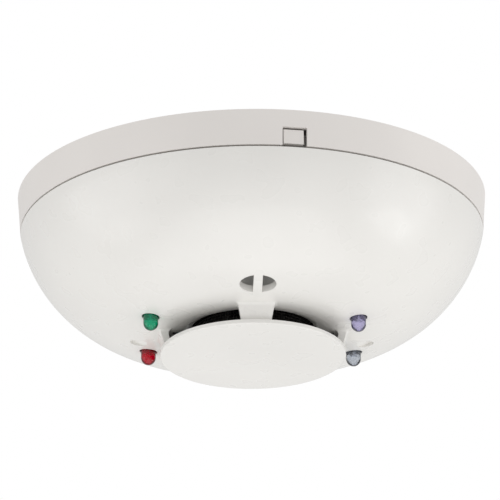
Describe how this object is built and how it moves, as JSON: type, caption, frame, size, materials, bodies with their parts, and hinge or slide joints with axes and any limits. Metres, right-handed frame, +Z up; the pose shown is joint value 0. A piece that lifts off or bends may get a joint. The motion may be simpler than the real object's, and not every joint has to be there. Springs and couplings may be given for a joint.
{
  "type": "heat detector",
  "caption": "Round ceiling fire detector head with a domed cover, capped sensing chamber, guarded heat sensors and lens indicators, on a twist-lock wiring base.",
  "frame": {"origin": "centre of the base's ceiling face", "axes": "+Z up into the ceiling along the detector's axis, -Y towards the front heat window, +X to the right seen from the front"},
  "size_m": [0.155, 0.155, 0.0565],
  "materials": {
    "cover_plastic": "satin moulded off-white plastic",
    "base_plastic": "satin moulded off-white plastic",
    "chassis_plastic": "matt moulded light grey plastic",
    "chamber_black": "matt black plastic",
    "screen_black": "blackened fine metal mesh",
    "contact_brass": "bright sprung strip",
    "screw_steel": "zinc plated",
    "board_green": "solder-resist green laminate",
    "chip_black": "moulded black",
    "can_aluminium": "sleeved can",
    "clear_glass": "clear glass tube",
    "bead_glass": "dark glass bead with tinned leads",
    "green_lens": "tinted clear epoxy",
    "red_lens": "tinted clear epoxy",
    "violet_lens": "lightly tinted clear epoxy",
    "clear_lens": "clear epoxy",
    "smoked_lens": "dark daylight-filter epoxy"
  },
  "bodies": {
    "base": {"base_moulding": "base_plastic", "lock_pin": "screw_steel", "terminal_clamp_1": "screw_steel", "terminal_clamp_2": "screw_steel", "terminal_clamp_3": "screw_steel", "terminal_clamp_4": "screw_steel", "terminal_clip_1": "contact_brass", "terminal_clip_2": "contact_brass", "terminal_clip_3": "contact_brass", "terminal_clip_4": "contact_brass", "terminal_screws": "screw_steel"},
    "head": {"board_screws": "screw_steel", "cap": "cover_plastic", "capacitors": "can_aluminium", "chamber_base": "chamber_black", "circuit_board": "board_green", "contact_blade_1": "contact_brass", "contact_blade_2": "contact_brass", "contact_blade_3": "contact_brass", "contact_blade_4": "contact_brass", "cover": "cover_plastic", "head_chassis": "chassis_plastic", "heat_sensor_front": "bead_glass", "heat_sensor_rear": "bead_glass", "insect_screen": "screen_black", "labyrinth": "chamber_black", "lens_left_front": "green_lens", "lens_left_rear": "red_lens", "lens_right_front": "violet_lens", "lens_right_rear": "clear_lens", "lens_spacer_left_front": "chip_black", "lens_spacer_left_rear": "chip_black", "lens_spacer_right_front": "chip_black", "lens_spacer_right_rear": "chip_black", "microcontroller": "chip_black", "reed_switch": "clear_glass", "scatter_emitter": "clear_lens", "scatter_receiver": "smoked_lens", "screen_frame": "chamber_black", "sensor_cup_front": "chassis_plastic", "sensor_cup_rear": "chassis_plastic", "sensor_sleeve_front": "chip_black", "sensor_sleeve_rear": "chip_black", "surge_suppressor": "chip_black"},
    "lock_lever": {"lock_lever": "base_plastic"}
  },
  "joints": [
    {"name": "head_twist", "type": "hinge", "parent": "base", "child": "head", "pos_m": [0, 0, 0], "axis": [0, 0, -1], "range_deg": [0, 18]},
    {"name": "lock_lever_swing", "type": "hinge", "parent": "base", "child": "lock_lever", "pos_m": [0.02515, -0.06672, -0.0085], "axis": [0, 0, -1], "range_deg": [0, 8]}
  ]
}
